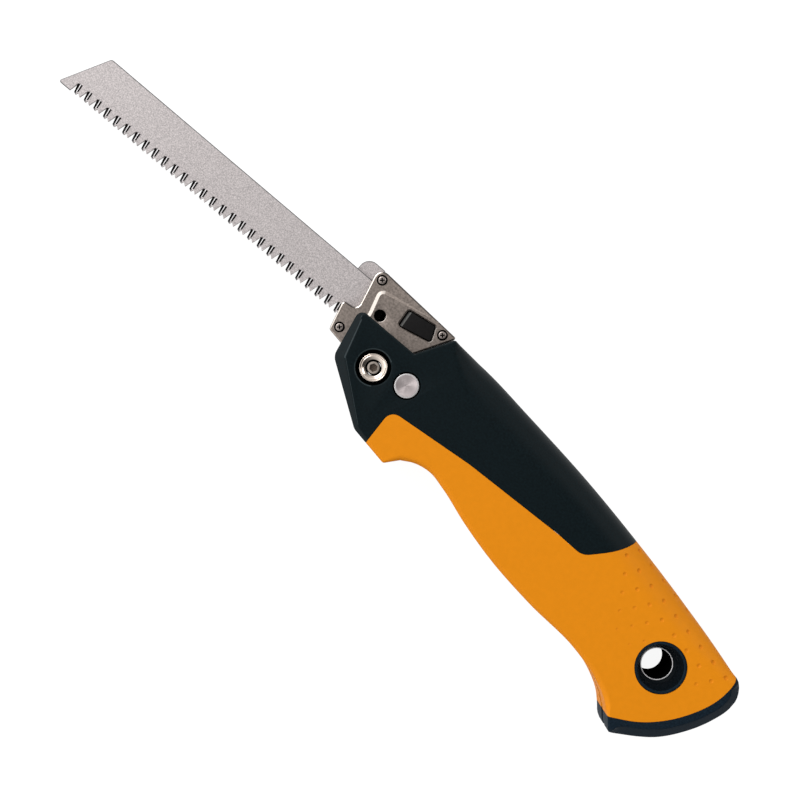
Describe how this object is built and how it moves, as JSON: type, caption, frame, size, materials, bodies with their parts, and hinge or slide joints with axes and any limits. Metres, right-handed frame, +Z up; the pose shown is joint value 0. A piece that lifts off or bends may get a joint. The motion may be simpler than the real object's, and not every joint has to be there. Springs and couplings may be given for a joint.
{
  "type": "folding saw",
  "caption": "Folding saw: a straight toothed blade in a die-cast holder that pivots into a slotted black and orange handle with a push-button lock, blade release and hang hole.",
  "frame": {"origin": "under the middle of the box round the open saw, on the surface that it lies on", "axes": "+X to the butt of the handle, +Y to the back of the saw, +Z up from its right side to its left side"},
  "size_m": [0.3678, 0.082, 0.0253],
  "materials": {
    "black_nylon": "fine satin moulding",
    "orange_grip": "soft-touch overmould",
    "blasted_steel": "bead blasted",
    "nickel_casting": "satin nickel plate on a die casting",
    "polished_steel": "polished",
    "turned_steel": "fine turned",
    "screw_steel": "satin",
    "spring_steel": "drawn wire",
    "washer_nylon": "natural nylon",
    "bush_bronze": "machined"
  },
  "bodies": {
    "handle": {"left_shell": "black_nylon", "right_shell": "black_nylon", "left_grip": "orange_grip", "right_grip": "orange_grip", "butt_cap": "black_nylon", "left_grommet": "black_nylon", "right_grommet": "black_nylon", "hang_sleeve": "black_nylon", "pivot_sleeve": "polished_steel", "pivot_bolt": "polished_steel", "pivot_nut": "polished_steel", "pivot_bush": "bush_bronze", "left_washer": "washer_nylon", "right_washer": "washer_nylon", "lock_spring": "spring_steel", "lock_seat": "spring_steel", "shell_screw_1": "screw_steel", "shell_screw_2": "screw_steel", "shell_screw_3": "screw_steel"},
    "blade_holder": {"holder_left_plate": "nickel_casting", "holder_right_plate": "nickel_casting", "holder_screw_1": "screw_steel", "holder_screw_2": "screw_steel", "holder_screw_3": "screw_steel", "thumb_tab": "blasted_steel", "release_spring": "spring_steel"},
    "blade": {"saw_blade": "blasted_steel"},
    "lock": {"lock_button": "turned_steel"},
    "release": {"release_button": "black_nylon"}
  },
  "joints": [
    {"name": "blade_fold", "type": "hinge", "parent": "handle", "child": "blade_holder", "pos_m": [-0.01168, 0.00805, 0.0125], "axis": [0, 0, 1], "range_deg": [0, 173]},
    {"name": "blade_slide", "type": "slide", "parent": "blade_holder", "child": "blade", "axis": [-1, 0, 0], "range_m": [0, 0.015]},
    {"name": "lock_press", "type": "slide", "parent": "handle", "child": "lock", "axis": [0, 0, -1], "range_m": [0, 0.003], "stiffness_N_per_m": 1500, "springref_m": -0.002, "deforming": ["lock_spring"]},
    {"name": "release_press", "type": "slide", "parent": "blade_holder", "child": "release", "axis": [0, 0, -1], "range_m": [0, 0.0016], "stiffness_N_per_m": 1200, "springref_m": -0.001, "deforming": ["release_spring"]}
  ]
}
